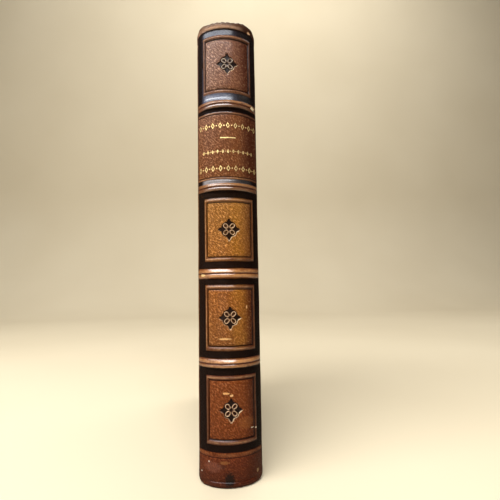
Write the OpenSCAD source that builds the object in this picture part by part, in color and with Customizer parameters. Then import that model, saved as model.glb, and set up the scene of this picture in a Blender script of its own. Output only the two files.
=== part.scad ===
// Antique half-leather book with a rounded spine, four raised bands and a hollow back.
// It stands on its tail edge, with the spine towards -Y and the front cover at +X.

/* [Book] */
// Height of the covers, tail to head
book_h = 220; // [160:1:300]
// Thickness over the closed covers
book_t = 29.7; // [24:0.1:45]
// Width of a cover from the end of the spine's round to its fore-edge
cover_w = 138; // [90:1:200]
// How far the covers stand past the pages
square_w = 3; // [2:0.1:5]

/* [Boards] */
// Thickness of the bare millboard
board_t = 2.2; // [1.5:0.1:3]
// Clearance between a board's spine edge and the shoulder of the pages
board_gap = 0.3; // [0.2:0.05:0.6]
// Height lost at a board's corner beside the spine
back_corner_h = 2.6; // [0.5:0.1:5]
// Width of the slope at a board's corner beside the spine
back_corner_w = 5; // [2:0.5:12]

/* [Covering] */
// Thickness of the spine leather
leather_t = 0.8; // [0.6:0.05:1.2]
// How far the leather runs onto each cover
leather_strip_w = 24; // [15:1:45]
// Thickness of the side covering
siding_t = 0.4; // [0.2:0.05:0.5]
// Width of the covering turned in over the inner edges
turn_in_w = 4; // [2.5:0.5:10]
// Thickness of the endpapers
paper_t = 0.3; // [0.15:0.05:0.5]
// Clearance between the endpapers of a closed cover
page_gap = 0.2; // [0.1:0.05:0.5]

/* [Spine] */
// Half of the angle that the round of the spine spans
round_angle = 60; // [48:1:66]
// Leather between the round of the spine and the hinge line
joint_w = 1; // [0.5:0.1:1.5]
// Slit at the hinge line between the spine leather and the cover leather
hinge_gap = 0.3; // [0.2:0.05:0.5]
// Thickness of the card under the spine leather
stiffener_t = 0.6; // [0.4:0.1:1]
// Clearance of the hollow back
hollow_gap = 0.25; // [0.15:0.05:0.6]
// Thickness of the lining glued to the pages
lining_t = 0.4; // [0.2:0.1:0.8]
// Room between the shoulder's tip and the spine leather
shoulder_gap = 0.65; // [0.4:0.05:1.2]
// Slope of the shoulder along the cover's width
shoulder_drop = 0.7; // [0.3:0.1:1.5]
// Depth of the hollow in the pages' fore-edge
fore_edge_sag = 4; // [1:0.5:7]
// Radius of the leather's corners at the head and the tail
end_corner_r = 3; // [1:0.5:5]

/* [Raised bands] */
// Height of the plain panel at the tail
tail_panel_h = 13.8; // [8:0.1:25]
// Height of the fine groove across the tail panel, at its lower edge
tail_line_z = 12.8; // [6:0.1:14]
// Width of a band along the spine
band_w = 4.3; // [3:0.1:6]
// How far the bands lie below an even spacing
band_drop = 1; // [0:0.05:1.5]
// How far a band stands proud of the spine
band_h = 1.45; // [1:0.05:2.5]
// Radius of a band's edges
band_edge_r = 1; // [0.9:0.05:1.4]
// How much the leather is thinned on its inside at a band
band_paring = 0.1; // [0.05:0.01:0.2]

/* [Head and tail caps] */
// Height of the rolled leather cap
cap_h = 3; // [2.2:0.1:4]
// How far the cap stands proud of the spine
cap_proud = 0.45; // [0.2:0.05:0.8]
// How far the cap reaches in over the headband
cap_reach = 3.2; // [2.4:0.1:4]
// Diameter of the headbands
headband_d = 2.4; // [1.6:0.1:2.6]
// How far a headband sits into the pages' edge
headband_seat = 0.5; // [0.3:0.1:0.8]

/* [Sewing] */
// Diameter of the sewing cords sunk in the spine of the pages
cord_d = 1.2; // [0.8:0.1:2]

/* [Blind tooling] */
// Width of the blackened border under a band
border_w = 3.2; // [1.5:0.1:4]
// Width of the blackened border over a band
foot_border_w = 3.6; // [1.5:0.1:4]
// Width of the raised line inside the border
ridge_w = 1.9; // [1:0.1:3]
// Width of the fine groove around a panel
groove_w = 0.4; // [0.3:0.05:0.8]
// Depth of the fine groove
groove_depth = 0.35; // [0.2:0.05:0.5]
// Depth of the blackened border
border_depth = 0.12; // [0.05:0.01:0.3]
// Half of the angle between the upright grooves of a panel
panel_angle = 38.5; // [30:0.5:44]
// Angle of the raised line beside an upright groove
ridge_angle = 5.5; // [3:0.5:6]
// Width of the blackened border in the title panel
title_border_w = 1.7; // [1:0.1:4]
// Width of the raised line in the title panel
title_ridge_w = 0.9; // [0.5:0.1:2]
// Size of the stamped flower over its four tips
flower_w = 10.6; // [6:0.1:13]
// Depth of the stamped flower
flower_depth = 0.35; // [0.2:0.05:0.5]

/* [Gold ornament] */
// Thickness of the gold
gold_t = 0.08; // [0.04:0.01:0.2]
// Height of the large lozenges
lozenge_h = 3; // [2:0.1:4.5]
// Angle between two large lozenges
lozenge_step = 12.5; // [10:0.5:15]
// Height of the small lozenges
small_lozenge_h = 2; // [1:0.1:3]
// Angle between two small lozenges
small_lozenge_step = 8.5; // [7:0.5:10]
// Length of the short rule
rule_l = 7.6; // [3:0.1:12]
// Width of the short rule
rule_w = 0.5; // [0.3:0.05:1]
// Width of a lozenge's lines
lozenge_line_w = 0.35; // [0.2:0.05:0.6]

/* [Hidden] */
$fn = 144;

// Colours
leather_colour = "#7a4a26";
dark_leather_colour = "#5a3220";
band_colour = "#8a6240";
card_colour = "#8c7a5e";
paper_colour = "#d9c9a3";
page_colour = "#cdb98c";
siding_colour = "#3a2a22";
gold_colour = "#d8b56a";
silk_colour = "#8a3b2c";
cord_colour = "#c8b48a";

// Round of the spine, seen from the head
half_t = book_t / 2;
spine_r = half_t / sin(round_angle);
spine_sag = spine_r * (1 - cos(round_angle));
depth = band_h + spine_sag + cover_w;
crest_y = -depth / 2;
apex_y = crest_y + band_h;
spine_axis_y = apex_y + spine_r;
joint_y = apex_y + spine_sag;
hinge_y = joint_y + joint_w;
fore_edge_y = depth / 2;

// Layers from the leather in to the pages
leather_in_r = spine_r - leather_t;
stiffener_in_r = leather_in_r - stiffener_t;
lining_r = stiffener_in_r - hollow_gap;
page_r = lining_r - lining_t;
// Place along X where an arc of radius r about the spine's axis reaches the joint
function joint_x(r) = sqrt(pow(r, 2) - pow(spine_axis_y - joint_y, 2));

// Layers of a cover, as places along X
board_out_x = half_t - leather_t;
board_in_x = board_out_x - board_t;
pastedown_in_x = board_in_x - paper_t;
flyleaf_out_x = pastedown_in_x - page_gap;
page_half_t = flyleaf_out_x - paper_t;

// Pages
page_lo = square_w;
page_hi = book_h - square_w;
shoulder_x = half_t - leather_t - shoulder_gap;
shoulder_y = spine_axis_y - sqrt(pow(page_r, 2) - pow(shoulder_x, 2));
shoulder_end_y = shoulder_y + shoulder_drop;
page_fore_y = fore_edge_y - square_w;
fore_edge_r = (pow(page_half_t, 2) + pow(fore_edge_sag, 2)) / (2 * fore_edge_sag);
lining_angle = asin(shoulder_x / page_r) - 1.5;
stiffener_angle = round_angle - 3;

// Boards
board_y = shoulder_end_y + board_gap;
board_lo = leather_t;
strip_y = joint_y + leather_strip_w;

// How far the round corners of the leather would pass the covers' faces
corner_overhang = 0.08;

// Bands, which lie on an arc of their own that fades out at the joints
band_sag = spine_sag + band_h;
band_r = (pow(half_t, 2) + pow(band_sag, 2)) / (2 * band_sag);
band_axis_y = crest_y + band_r;
band_end_angle = acos((band_axis_y - joint_y) / band_r) - 2;
pitch = (book_h - tail_panel_h) / 5;
band_count = 4;
band_line_w = 0.44 * leather_t;
band_line_depth = leather_t / 4;
band_depth = band_h + 6 * leather_t;

// Panels, counted from the tail; the fourth holds the title
framed_panels = [0, 1, 2, 4];
title_panel = 3;
panel_inset = band_w / 2 + border_w + ridge_w + groove_w;
panel_foot_inset = band_w / 2 + foot_border_w + ridge_w + groove_w;
groove_angle = groove_w / spine_r * 180 / PI;
motif_depth = 4 * leather_t;
motif_proud = leather_t;
title_inset = band_w / 2 + title_border_w + title_ridge_w + groove_w;
title_lo = panel_lo(title_panel) + title_inset;
title_hi = panel_hi(title_panel) - title_inset;
title_h = title_hi - title_lo;

// Sewing cords
cord_count = 5;
cord_pitch = (page_hi - page_lo) / (cord_count + 1);
cord_clearance = 0.05;
cord_r = page_r - cord_d / 2 - cord_clearance / 2;

// Headbands
headband_r = page_r - headband_d / 2;
headband_angle = asin(page_half_t / headband_r);
cap_roll_r = cap_h / 2;
cap_hollow_w = spine_r - stiffener_in_r + cap_roll_r;
cap_angle = asin((half_t - 0.1) / (spine_r + cap_proud));
headband_lift = headband_d / 2 - headband_seat;

function band_z(i) = tail_panel_h + i * pitch - band_drop;
function panel_lo(i) = band_z(i);
function panel_hi(i) = band_z(i + 1);
// Edges of a framed panel's middle field
function field_lo(i) = panel_lo(i) + panel_foot_inset;
function field_hi(i) = panel_hi(i) - panel_inset;
// Upper edge of a panel's border: the headcap ends the top one and a band ends the others
function border_hi(i) = i == 4 ? book_h - cap_h : panel_hi(i) - band_w / 2;

// Turns a profile, drawn as radius and height, about the spine's axis
module around_spine(half_angle) {
    translate([0, spine_axis_y, 0])
        rotate_extrude(angle = 2 * half_angle, start = 270 - half_angle)
            children();
}

// A patch on the round of the spine: z0 to z1, patch_depth deep, out to the radius out_r
module spine_patch(half_angle, z0, z1, patch_depth, out_r) {
    around_spine(half_angle)
        translate([spine_r - patch_depth, z0])
            square([out_r - spine_r + patch_depth, z1 - z0]);
}

// Places a flat motif at angle a and height z on the round of the spine, from motif_depth
// under its crown to motif_proud over it
module on_spine(a, z) {
    translate([0, spine_axis_y, z])
        rotate([0, 0, a])
            translate([0, motif_depth - spine_r, 0])
                rotate([90, 0, 0])
                    linear_extrude(height = motif_depth + motif_proud)
                        children();
}

// Rounded bar as a band's profile: reach is its outer radius, w its width, r its edges
module band_profile(reach, w, r) {
    base = reach - band_depth;
    translate([base, -w / 2])
        square([reach - r - base, w]);
    translate([base, -w / 2 + r])
        square([reach - base, w - 2 * r]);
    for (side = [-1, 1])
        translate([reach - r, side * (w / 2 - r)])
            circle(r = r);
}

// Sweeps a band's profile along the band's own arc at band i
module around_band(i) {
    translate([0, band_axis_y, band_z(i)])
        rotate_extrude(angle = 2 * band_end_angle, start = 270 - band_end_angle)
            children();
}

// Leather bump over band i, with a fine line along its crest
module band_cover(i) {
    difference() {
        around_band(i)
            difference() {
                band_profile(band_r, band_w, band_edge_r);
                translate([band_r - band_line_depth, -band_line_w / 2])
                    square([leather_t, band_line_w]);
            }
        translate([0, spine_axis_y, band_z(i) - band_w])
            cylinder(r = leather_in_r + band_paring, h = 2 * band_w);
    }
}

// Card strip that makes the raised band i under the leather
module band_core(i) {
    core_w = band_w - 2 * leather_t;
    difference() {
        around_band(i)
            band_profile(band_r - leather_t, core_w, band_edge_r - leather_t);
        translate([0, spine_axis_y, band_z(i) - band_w])
            cylinder(r = leather_in_r, h = 2 * band_w);
    }
}

// Disc about the spine's axis, flattened where it would pass the joints
module rounded(r) {
    x = joint_x(r);
    intersection() {
        translate([0, spine_axis_y])
            circle(r = r);
        translate([-x, crest_y])
            square([2 * x, depth]);
    }
}

// Outline of the spine leather seen from the head, with its outer face sunk by sunk
// and its inner face thinned by thinned: the round, and the flanges that end at the hinge lines
module spine_outline(sunk, thinned) {
    difference() {
        rounded(spine_r - sunk);
        rounded(leather_in_r + thinned);
        translate([-book_t, hinge_y - hinge_gap / 2])
            square([2 * book_t, depth]);
    }
}

// Stretch of the spine leather from z0 to z1
module wall(z0, z1, sunk, thinned = 0) {
    translate([0, 0, z0])
        linear_extrude(height = z1 - z0)
            spine_outline(sunk, thinned);
}

// Rolled cap at one end of the spine, drawn for the head: the roll, which is hollow over
// the headband, and the turned-in lip
module cap_profile() {
    difference() {
        translate([spine_r + cap_proud - cap_roll_r, book_h - cap_roll_r])
            circle(r = cap_roll_r);
        translate([stiffener_in_r - cap_hollow_w, book_h - leather_t - cap_h])
            square([cap_hollow_w, cap_h]);
    }
    translate([spine_r - cap_reach, book_h - leather_t])
        square([cap_reach + cap_proud - cap_roll_r, leather_t]);
}

module caps() {
    around_spine(cap_angle)
        difference() {
            union() {
                cap_profile();
                translate([0, book_h])
                    mirror([0, 1])
                        cap_profile();
            }
            translate([0, cap_h])
                square([spine_r, book_h - 2 * cap_h]);
        }
}

// Framed panel i: sunk border out to the joints, raised line, fine groove and flower
module framed_panel(i) {
    lo = field_lo(i);
    hi = field_hi(i);
    rim = groove_w + ridge_w;
    difference() {
        union() {
            wall(panel_lo(i) + band_w / 2, border_hi(i), border_depth);
            spine_patch(panel_angle + ridge_angle, lo - rim, hi + rim, 2 * border_depth, spine_r);
        }
        difference() {
            spine_patch(panel_angle + groove_angle, lo - groove_w, hi + groove_w,
                groove_depth, spine_r + 1);
            spine_patch(panel_angle, lo, hi, 2 * groove_depth, spine_r + 2);
        }
        stamped_flower(i);
    }
}

// Title panel: sunk borders and fine grooves across it, and no frame
module plain_panel() {
    lo = panel_lo(title_panel) + band_w / 2;
    hi = panel_hi(title_panel) - band_w / 2;
    wall(lo, lo + title_border_w, border_depth);
    wall(lo + title_border_w, title_lo - groove_w, 0);
    wall(title_lo - groove_w, title_lo, groove_depth);
    wall(title_lo, title_hi, 0);
    wall(title_hi, title_hi + groove_w, groove_depth);
    wall(title_hi + groove_w, hi - title_border_w, 0);
    wall(hi - title_border_w, hi, border_depth);
}

// Pointed leaf of the stamped flower, drawn upwards with two side barbs; u is a tenth of its size
module flower_tip(u) {
    polygon([
        [0, 5 * u], [0.55 * u, 4.1 * u], [0.4 * u, 3.6 * u], [1.5 * u, 3.3 * u],
        [2 * u, 2.8 * u], [0.9 * u, 2.7 * u], [0.3 * u, 2.1 * u], [0.3 * u, 0],
        [-0.3 * u, 0], [-0.3 * u, 2.1 * u], [-0.9 * u, 2.7 * u], [-2 * u, 2.8 * u],
        [-1.5 * u, 3.3 * u], [-0.4 * u, 3.6 * u], [-0.55 * u, 4.1 * u]
    ]);
}

// Four tips and four sunk petal centres; the petals' rims are the leather left between them
module flower() {
    u = flower_w / 10;
    petal_r = 0.72 * u;
    petal_place = 1.62 * u;
    for (a = [0 : 90 : 270]) {
        rotate(a)
            flower_tip(u);
        rotate(a + 45)
            translate([0, petal_place * sqrt(2)])
                circle(r = petal_r);
    }
}

module stamped_flower(i) {
    difference() {
        on_spine(0, (field_lo(i) + field_hi(i)) / 2)
            flower();
        translate([0, spine_axis_y, panel_lo(i)])
            cylinder(r = spine_r - flower_depth, h = pitch);
    }
}

// Rounded corner cut from the leather beside both joints, drawn for the head
module end_corner_cut() {
    for (side = [-1, 1])
        translate([side * (half_t - end_corner_r + corner_overhang), 0, book_h - end_corner_r])
            rotate([-90, 0, 0])
                translate([0, 0, crest_y - 1])
                    linear_extrude(height = hinge_y - crest_y + 1)
                        difference() {
                            translate([side > 0 ? 0 : -end_corner_r - 1, -end_corner_r - 1])
                                square(end_corner_r + 1);
                            circle(r = end_corner_r);
                        }
}

module spine_leather() {
    color(leather_colour)
        difference() {
            union() {
                wall(0, tail_line_z, 0);
                wall(tail_line_z, tail_line_z + groove_w, groove_depth);
                wall(tail_line_z + groove_w, panel_lo(0) + band_w / 2, 0);
                for (i = framed_panels)
                    framed_panel(i);
                plain_panel();
                for (i = [1 : band_count]) {
                    wall(band_z(i) - band_w / 2, band_z(i) + band_w / 2, 0, band_paring);
                    band_cover(i);
                }
                wall(book_h - cap_h, book_h, 0);
                caps();
            }
            for (i = [1 : band_count])
                band_core(i);
            end_corner_cut();
            translate([0, 0, book_h])
                mirror([0, 0, 1])
                    end_corner_cut();
        }
}

module false_band(i) {
    color(band_colour)
        band_core(i);
}

// Open lozenge of height h
module lozenge(h) {
    w = 0.62 * h;
    inner = 1 - 2.3 * lozenge_line_w / w;
    difference() {
        polygon([[0, h / 2], [w / 2, 0], [0, -h / 2], [-w / 2, 0]]);
        scale([inner, inner])
            polygon([[0, h / 2], [w / 2, 0], [0, -h / 2], [-w / 2, 0]]);
    }
}

// A row of open lozenges with a dot between each two, n to each side of the middle
module lozenge_row(z, h, step, n) {
    for (i = [-n : n])
        on_spine(i * step, z)
            lozenge(h);
    for (i = [-n : n - 1])
        on_spine((i + 0.5) * step, z)
            circle(r = 0.11 * h, $fn = 24);
}

// Gold rows and the short rule, as thin as leaf on the leather
module gold_ornament() {
    color(gold_colour)
        intersection() {
            union() {
                lozenge_row(title_lo + 0.82 * title_h, lozenge_h, lozenge_step, 4);
                lozenge_row(title_lo + 0.4 * title_h, small_lozenge_h, small_lozenge_step, 5);
                lozenge_row(title_lo + 0.13 * title_h, lozenge_h, lozenge_step, 4);
                on_spine(0, title_lo + 0.62 * title_h)
                    square([rule_l, rule_w], center = true);
            }
            translate([0, spine_axis_y, title_lo])
                difference() {
                    cylinder(r = spine_r + gold_t, h = title_h);
                    translate([0, 0, -1])
                        cylinder(r = spine_r, h = title_h + 2);
                }
        }
}

// Card tube's outer wall, which carries the false bands inside the leather
module spine_stiffener() {
    color(card_colour)
        around_spine(stiffener_angle)
            translate([stiffener_in_r, cap_h])
                square([stiffener_t, book_h - 2 * cap_h]);
}

// Paper and mull glued to the folds of the pages
module spine_lining() {
    color(card_colour)
        around_spine(lining_angle)
            translate([page_r, page_lo])
                square([lining_t, page_hi - page_lo]);
}

// Pages seen from the head: rounded back, shoulders and hollow fore-edge
module page_outline() {
    difference() {
        union() {
            intersection() {
                translate([0, spine_axis_y])
                    circle(r = page_r);
                translate([-book_t, crest_y])
                    square([2 * book_t, shoulder_y - crest_y]);
            }
            polygon([
                [-shoulder_x, shoulder_y], [shoulder_x, shoulder_y],
                [page_half_t, shoulder_end_y], [page_half_t, page_fore_y],
                [-page_half_t, page_fore_y], [-page_half_t, shoulder_end_y]
            ]);
        }
        translate([0, page_fore_y - fore_edge_sag + fore_edge_r])
            circle(r = fore_edge_r);
    }
}

// Arc of a sewing cord, or of its kerf when it is made wider by the clearance
module cord_arc(i, grow) {
    around_spine(lining_angle)
        translate([cord_r, page_lo + i * cord_pitch])
            circle(r = cord_d / 2 + grow, $fn = 32);
}

// Arc of a headband at the head, or at the tail when it is mirrored
module headband_arc() {
    around_spine(headband_angle)
        translate([headband_r, page_hi + headband_lift])
            circle(r = headband_d / 2, $fn = 48);
}

module text_block() {
    color(page_colour)
        difference() {
            translate([0, 0, page_lo])
                linear_extrude(height = page_hi - page_lo)
                    page_outline();
            for (i = [1 : cord_count])
                cord_arc(i, cord_clearance);
            headband_arc();
            translate([0, 0, book_h])
                mirror([0, 0, 1])
                    headband_arc();
        }
}

module sewing_cord(i) {
    color(cord_colour)
        cord_arc(i, 0);
}

module headband() {
    color(silk_colour)
        headband_arc();
}

module tailband() {
    color(silk_colour)
        translate([0, 0, book_h])
            mirror([0, 0, 1])
                headband_arc();
}

// Pieces of a cover are drawn for the front, at +X, and mirrored for the back
module cover_side(side) {
    if (side > 0)
        children();
    else
        mirror([1, 0, 0])
            children();
}

// Slab between two places along X, from its outline drawn as Y and Z
module slab(x0, x1) {
    translate([x0, 0, 0])
        rotate([90, 0, 90])
            linear_extrude(height = x1 - x0)
                children();
}

// Outline of a cover layer from y0 to y1, inset from the head and the tail,
// with the sloped corners beside the spine
module cover_outline(y0, y1, inset) {
    slope_y = board_y + back_corner_w;
    drop = back_corner_h * (slope_y - y0) / back_corner_w;
    polygon([
        [y0, inset + drop], [slope_y, inset], [y1, inset],
        [y1, book_h - inset], [slope_y, book_h - inset], [y0, book_h - inset - drop]
    ]);
}

module board() {
    slab(board_in_x, board_out_x)
        cover_outline(board_y, fore_edge_y - siding_t, board_lo);
}

// Leather strip along the joint: over the board's face and edges, and turned in
module cover_leather() {
    difference() {
        slab(pastedown_in_x, half_t)
            cover_outline(hinge_y + hinge_gap / 2, strip_y, 0);
        slab(pastedown_in_x - 1, board_out_x)
            translate([hinge_y, 0])
                square([board_y - hinge_y, book_h]);
        board();
        slab(pastedown_in_x - 1, board_in_x)
            translate([board_y - 1, turn_in_w])
                square([leather_strip_w + 2, book_h - 2 * turn_in_w]);
    }
}

// Side covering: from the leather to the fore-edge, over the edges, and turned in
module cover_siding() {
    edge = leather_t - siding_t;
    difference() {
        slab(pastedown_in_x, board_out_x + siding_t)
            translate([strip_y, edge])
                square([fore_edge_y - strip_y, book_h - 2 * edge]);
        board();
        slab(pastedown_in_x - 1, board_in_x)
            translate([strip_y - 1, turn_in_w])
                square([fore_edge_y - turn_in_w - strip_y + 1, book_h - 2 * turn_in_w]);
    }
}

module cover_pastedown() {
    slab(pastedown_in_x, board_in_x)
        translate([board_y, turn_in_w])
            square([fore_edge_y - turn_in_w - board_y, book_h - 2 * turn_in_w]);
}

module flyleaf() {
    slab(page_half_t, flyleaf_out_x)
        translate([shoulder_end_y, page_lo])
            square([page_fore_y - shoulder_end_y, page_hi - page_lo]);
}

module cover_board(side) {
    color(card_colour)
        cover_side(side)
            board();
}

module cover_leather_strip(side) {
    color(dark_leather_colour)
        cover_side(side)
            cover_leather();
}

module cover_side_covering(side) {
    color(siding_colour)
        cover_side(side)
            cover_siding();
}

module cover_inner_paper(side) {
    color(paper_colour)
        cover_side(side)
            cover_pastedown();
}

module loose_flyleaf(side) {
    color(paper_colour)
        cover_side(side)
            flyleaf();
}

text_block();
loose_flyleaf(1);  // front_flyleaf
loose_flyleaf(-1);  // back_flyleaf
headband();
tailband();
spine_lining();
sewing_cord(1);  // sewing_cord_1
sewing_cord(2);  // sewing_cord_2
sewing_cord(3);  // sewing_cord_3
sewing_cord(4);  // sewing_cord_4
sewing_cord(5);  // sewing_cord_5
spine_stiffener();
false_band(1);  // false_band_1
false_band(2);  // false_band_2
false_band(3);  // false_band_3
false_band(4);  // false_band_4
spine_leather();
gold_ornament();
cover_board(1);  // front_board
cover_leather_strip(1);  // front_leather
cover_side_covering(1);  // front_siding
cover_inner_paper(1);  // front_pastedown
cover_board(-1);  // back_board
cover_leather_strip(-1);  // back_leather
cover_side_covering(-1);  // back_siding
cover_inner_paper(-1);  // back_pastedown
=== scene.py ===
"""Looks of an antique half-leather book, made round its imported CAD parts.

The book stands on its tail, with its spine towards -Y and its front cover at +X. Shapes are worked
out in millimetres and become metres where a mesh is made. Places on the spine leather are given as
an arc, measured round the spine from its middle, and a height above the tail.
"""

import math
from types import SimpleNamespace

import bpy
import numpy as np
from mathutils import Matrix, Vector


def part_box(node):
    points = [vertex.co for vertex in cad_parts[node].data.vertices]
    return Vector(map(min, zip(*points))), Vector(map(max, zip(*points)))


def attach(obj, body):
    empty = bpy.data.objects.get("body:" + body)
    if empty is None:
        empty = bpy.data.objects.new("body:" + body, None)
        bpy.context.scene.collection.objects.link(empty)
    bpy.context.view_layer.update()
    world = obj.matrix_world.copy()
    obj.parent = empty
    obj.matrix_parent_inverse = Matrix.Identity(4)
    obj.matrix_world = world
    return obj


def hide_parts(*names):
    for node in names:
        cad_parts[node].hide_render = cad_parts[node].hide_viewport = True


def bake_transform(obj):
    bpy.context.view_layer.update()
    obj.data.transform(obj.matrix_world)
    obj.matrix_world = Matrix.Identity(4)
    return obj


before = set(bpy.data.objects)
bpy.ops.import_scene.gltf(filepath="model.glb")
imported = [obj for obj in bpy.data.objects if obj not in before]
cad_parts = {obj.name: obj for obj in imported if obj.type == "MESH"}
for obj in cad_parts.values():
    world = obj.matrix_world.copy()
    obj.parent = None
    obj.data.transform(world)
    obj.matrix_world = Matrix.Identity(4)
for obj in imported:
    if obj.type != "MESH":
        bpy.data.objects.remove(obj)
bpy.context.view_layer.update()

MM = 0.001

# Places from the frame
HALF_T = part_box("spine_leather")[1].x / MM
CREST_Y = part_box("spine_leather")[0].y / MM
BOOK_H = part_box("spine_leather")[1].z / MM
STRIP_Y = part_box("front_leather")[1].y / MM
BOARD_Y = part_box("front_board")[0].y / MM
FORE_EDGE_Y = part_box("front_siding")[1].y / MM
PASTEDOWN_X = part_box("front_pastedown")[0].x / MM
PAGE_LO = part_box("text_block")[0].z / MM
PAGE_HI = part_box("text_block")[1].z / MM
PAGE_HALF_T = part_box("front_flyleaf")[0].x / MM

# The round of the spine
ROUND = math.radians(60)
BAND_RISE = 1.45
SPINE_R = HALF_T / math.sin(ROUND)
AXIS_Y = CREST_Y + BAND_RISE + SPINE_R
JOINT_Y = AXIS_Y - SPINE_R * math.cos(ROUND)
JOINT_W = 1
HINGE_Y = JOINT_Y + JOINT_W
JOINT_ARC = SPINE_R * ROUND
SEAM_ARC = SPINE_R * math.radians(57)
STRIP_ARC = JOINT_ARC + STRIP_Y - JOINT_Y

# Thicknesses of the leather and of a pastedown
LEATHER = 0.8
PASTEDOWN = 0.3

# Bands and panels along the spine
TAIL_PANEL = 13.8
PITCH = (BOOK_H - TAIL_PANEL) / 5
TAIL_LINE = 13.0
BAND_DROP = 1.0
BAND_HALF = 2.15
BAND_SAG = SPINE_R * (1 - math.cos(ROUND)) + BAND_RISE
BAND_R = (HALF_T**2 + BAND_SAG**2) / (2 * BAND_SAG)
BAND_SHIFT = AXIS_Y - (CREST_Y + BAND_R)
GILT_PANEL = 3
FRAMED_PANELS = (0, 1, 2, 4)

# Frame of a panel, measured in from the black border. Where there is no frame, UNFRAMED stands for it
HEAD_BORDER = 3.2
FOOT_BORDER = 3.6
GILT_BORDER = 1.7
RIDGE = 1.9
GROOVE = 0.4
FRAME_W = RIDGE + GROOVE
GILT_FRAME_W = 1.3
UNFRAMED = 9.0
PANEL_ARC = SPINE_R * math.radians(38.5)
RIDGE_ARC = SPINE_R * math.radians(44)
BLACK_ARC = SPINE_R * math.radians(57.5)
SIDE_STRETCH = FRAME_W / (RIDGE_ARC - PANEL_ARC)
GILT_STRETCH = FRAME_W / GILT_FRAME_W

# How much further in the frames' left sides lie at the tail, and what they lose for each millimetre up
LEAN_AT_TAIL = 1.3
LEAN_LOSS = 0.0055

# Stamped flower, ten units high. Each point of a leaf gives a way out from the centre and a half width
FLOWER_PART = 0.5 + (FOOT_BORDER - HEAD_BORDER) / 2 / PITCH
FLOWER_UNIT = 1.06
FLOWER_REACH = 5.6
LEAF = (
    (0, 0.4),
    (1.2, 0.55),
    (2.1, 0.9),
    (2.75, 1.85),
    (3.1, 1.9),
    (3.4, 1.05),
    (3.9, 0.75),
    (4.4, 0.5),
    (5.0, 0),
)
LEAF_LONG = 5
LEAF_WIDEST = 1.9
PETAL_PLACE = 2.25
PETAL_TAIL = 1.95
PETAL_END = 1.2
PETAL_WIDE = 1.08
PETAL_CORE = 0.6
DIAGONAL = math.sqrt(0.5)

# Rolled caps at the head and the tail
CAP_H = 3.0
CAP_FOOT = BOOK_H - CAP_H
CAP_PROUD = 0.45
CAP_ROLL = 1.5
CAP_REACH = 3.2

# Rounded corners where the cap meets the joint, and the length over which the leather is drawn in there
CORNER_R = 3.0
DRAWN = 14.0

# How far the leather strip of a cover is turned in
TURN_IN = 4.0

# Steps of the leather's mesh up the spine, round it and out over a cover: fine at the tooling and folds
FINE_UP = 0.24
COARSE_UP = 0.9
FINE_ROUND = 0.21
COARSE_ROUND = 0.6
FINE_OUT = 0.22
COARSE_OUT = 1.6

# Where the fine steps up the spine are: to each side of a band and of a flower, and at both ends
FINE_BY_BAND = 7.6
FINE_BY_FLOWER = 5.5
FINE_TAIL = (13.0, 21.4)
FINE_HEAD = (210.8, CAP_FOOT)

# Camera: a phone's, in front of the spine, a little to its left and below its middle
SENSOR_W = 36
LENS = 27
CAMERA_PLACE = (-8.6, -247.8, 89.1)
CAMERA_AIM = (9.75, -72.56, 106.16)
CAMERA_ROLL = math.radians(-1.02)

# Studio, in metres: a floor that sweeps up into a backdrop
FLOOR_HALF_W = 3.0
FLOOR_FRONT = -1.6
SWEEP_START = 0.9
SWEEP_R = 0.5
BACKDROP_TOP = 3.0
BOOK_MIDDLE = (0, 0, 0.11)

# Lights: name, place, aim, width and height, watts, colour
LIGHTS = (
    ("window", (-0.3, -0.5, 0.78), BOOK_MIDDLE, (1.35, 0.35), 20.5, (0.95, 0.97, 1.0)),
    ("side_fill", (-0.9, -0.4, 0.3), BOOK_MIDDLE, (0.8, 0.8), 2.2, (1.0, 0.95, 0.88)),
    ("low_fill", (-0.35, -0.9, 0.1), BOOK_MIDDLE, (0.6, 0.3), 1.2, (1.0, 0.95, 0.88)),
    ("right_fill", (0.9, -0.6, 0.5), BOOK_MIDDLE, (0.8, 0.8), 0.8, (1.0, 0.93, 0.85)),
    ("back_fill", (0.2, 0.5, 1.9), (0, 1.3, 0.3), (1.6, 1.0), 30.0, (0.97, 0.98, 1.0)),
)


def add_object(name, data):
    thing = bpy.data.objects.new(name, data)
    bpy.context.scene.collection.objects.link(thing)
    return thing


def make_camera():
    data = bpy.data.cameras.new("camera")
    data.sensor_width = SENSOR_W
    data.lens = LENS
    data.clip_start = 0.01
    camera = add_object("camera", data)
    place = Vector(CAMERA_PLACE) * MM
    aim = Vector(CAMERA_AIM) * MM
    turn = (aim - place).to_track_quat("-Z", "Y").to_matrix() @ Matrix.Rotation(CAMERA_ROLL, 3, "Z")
    camera.matrix_world = Matrix.Translation(place) @ turn.to_4x4()
    bpy.context.scene.camera = camera


def add_light(name, place, aim, size, power, colour):
    data = bpy.data.lights.new(name, "AREA")
    data.shape = "ELLIPSE"
    data.size, data.size_y = size
    data.energy = power
    data.color = colour
    light = add_object(name, data)
    light.location = place
    light.rotation_euler = (Vector(aim) - Vector(place)).to_track_quat("-Z", "Y").to_euler()


def floor_finish():
    finish = Finish("studio_floor")
    x, y, z = finish.place()
    cloud = finish.noise(x, y, z, 1 / 300, detail=2)
    finish.surface(base=finish.blend(cloud, tone("#bcae92"), tone("#c7ba9f")), rough=0.9, specular=0.2)
    return finish.material


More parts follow.
